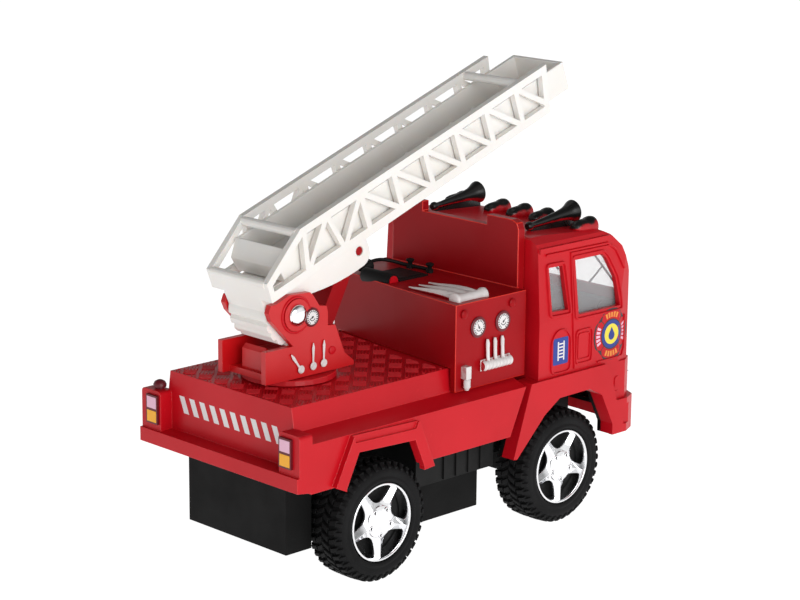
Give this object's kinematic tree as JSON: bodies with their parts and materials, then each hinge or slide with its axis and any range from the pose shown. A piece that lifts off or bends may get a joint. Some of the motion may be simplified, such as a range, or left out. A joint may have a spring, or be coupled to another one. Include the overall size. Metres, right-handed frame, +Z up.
{
  "type": "toy fire engine",
  "caption": "Toy ladder fire engine with a swivelling, lifting and extending ladder, pump housing, clear-glazed cab and rolling wheels.",
  "frame": {"origin": "on the ground under the middle of the vehicle's length and width", "axes": "+X forward to the cab, +Y to the left side, +Z up"},
  "size_m": [0.164, 0.0808, 0.1561],
  "materials": {
    "red_plastic": "glossy moulded red",
    "bright_red_plastic": "glossy thin-walled red",
    "black_plastic": "satin black",
    "black_paint": "black paint on moulded relief",
    "white_plastic": "slightly translucent warm white",
    "white_paint": "white paint on moulded relief",
    "grey_plastic": "dark grey",
    "tyre_rubber": "matte black rubber",
    "chrome": "bright chrome",
    "plated_plastic": "moulded plastic, vacuum-plated",
    "steel": "drawn steel",
    "brass": "turned brass",
    "clear_plastic": "clear",
    "cell_sleeve": "printed sleeve",
    "lamp_paint": "pale pink over amber paint",
    "printed_decal": "pad-printed blue, yellow and black",
    "lamp_lens": "silvered lamp lens"
  },
  "bodies": {
    "vehicle": {"chassis": "black_plastic", "middle_box": "black_plastic", "battery_box": "black_plastic", "axle_carrier": "black_plastic", "rail_left": "black_plastic", "rail_right": "black_plastic", "gearbox_case": "black_plastic", "motor": "steel", "battery_door": "black_plastic", "battery_cell_1": "cell_sleeve", "battery_cell_2": "cell_sleeve", "battery_cell_3": "cell_sleeve", "bed": "red_plastic", "tail_lamp_left": "lamp_paint", "tail_lamp_right": "lamp_paint", "pump_housing": "bright_red_plastic", "pump_gauge_left_1": "white_paint", "pump_gauge_left_2": "white_paint", "pump_gauge_right_1": "white_paint", "pump_gauge_right_2": "white_paint", "pump_levers_left": "white_paint", "pump_levers_right": "white_paint", "hose_outlet_left": "white_paint", "hose_outlet_right": "white_paint", "manifold": "white_paint", "hose_locker": "black_paint", "branch_pipe": "black_paint", "cab": "red_plastic", "window_insert": "clear_plastic", "cab_interior": "grey_plastic", "horn_left": "black_paint", "horn_right": "black_paint", "roof_lamp_1": "red_plastic", "roof_lamp_2": "red_plastic", "roof_lamp_3": "red_plastic", "roof_lamp_4": "red_plastic", "roof_lamp_5": "red_plastic"},
    "turret": {"turntable": "red_plastic", "turret_bracket": "bright_red_plastic", "turret_gauge_left": "white_paint", "turret_gauge_right": "white_paint"},
    "ladder": {"outer_ladder": "white_plastic", "arm_strut": "bright_red_plastic", "pivot_pin": "chrome"},
    "ladder_extension": {"inner_ladder": "white_plastic"},
    "front_wheels": {"axle_front": "steel", "tyre_front_left": "tyre_rubber", "rim_front_left": "plated_plastic", "tyre_front_right": "tyre_rubber", "rim_front_right": "plated_plastic"},
    "rear_wheels": {"axle_rear": "steel", "axle_gear": "white_plastic", "tyre_rear_left": "tyre_rubber", "rim_rear_left": "plated_plastic", "tyre_rear_right": "tyre_rubber", "rim_rear_right": "plated_plastic"},
    "idler": {"idler_gear": "white_plastic"},
    "pinion": {"motor_pinion": "brass"},
    "switch": {"power_switch": "white_plastic"}
  },
  "joints": [
    {"name": "turret_swing", "type": "hinge", "parent": "vehicle", "child": "turret", "pos_m": [-0.0513, 0, 0.0641], "axis": [0, 0, 1], "continuous": true},
    {"name": "ladder_lift", "type": "hinge", "parent": "turret", "child": "ladder", "pos_m": [-0.0584, 0, 0.0869], "axis": [0, -1, 0], "range_deg": [-14.4, 40]},
    {"name": "ladder_extend", "type": "slide", "parent": "ladder", "child": "ladder_extension", "axis": [0.9384, 0, 0.3455], "range_m": [0, 0.075]},
    {"name": "front_wheel_spin", "type": "hinge", "parent": "vehicle", "child": "front_wheels", "pos_m": [0.0442, 0, 0.02], "axis": [0, 1, 0], "continuous": true},
    {"name": "rear_wheel_spin", "type": "hinge", "parent": "vehicle", "child": "rear_wheels", "pos_m": [-0.0417, 0, 0.02], "axis": [0, 1, 0], "continuous": true},
    {"name": "idler_spin", "type": "hinge", "parent": "vehicle", "child": "idler", "pos_m": [-0.04665, 0, 0.02495], "axis": [0, 1, 0], "continuous": true},
    {"name": "pinion_spin", "type": "hinge", "parent": "vehicle", "child": "pinion", "pos_m": [-0.05365, 0, 0.02495], "axis": [0, 1, 0], "continuous": true},
    {"name": "power_switch_slide", "type": "slide", "parent": "vehicle", "child": "switch", "axis": [0, 1, 0], "range_m": [0, 0.0048]}
  ],
  "couplings": [
    {"joint": "idler_spin", "follows": "rear_wheel_spin", "ratio": -1.8},
    {"joint": "pinion_spin", "follows": "rear_wheel_spin", "ratio": 3.24}
  ]
}
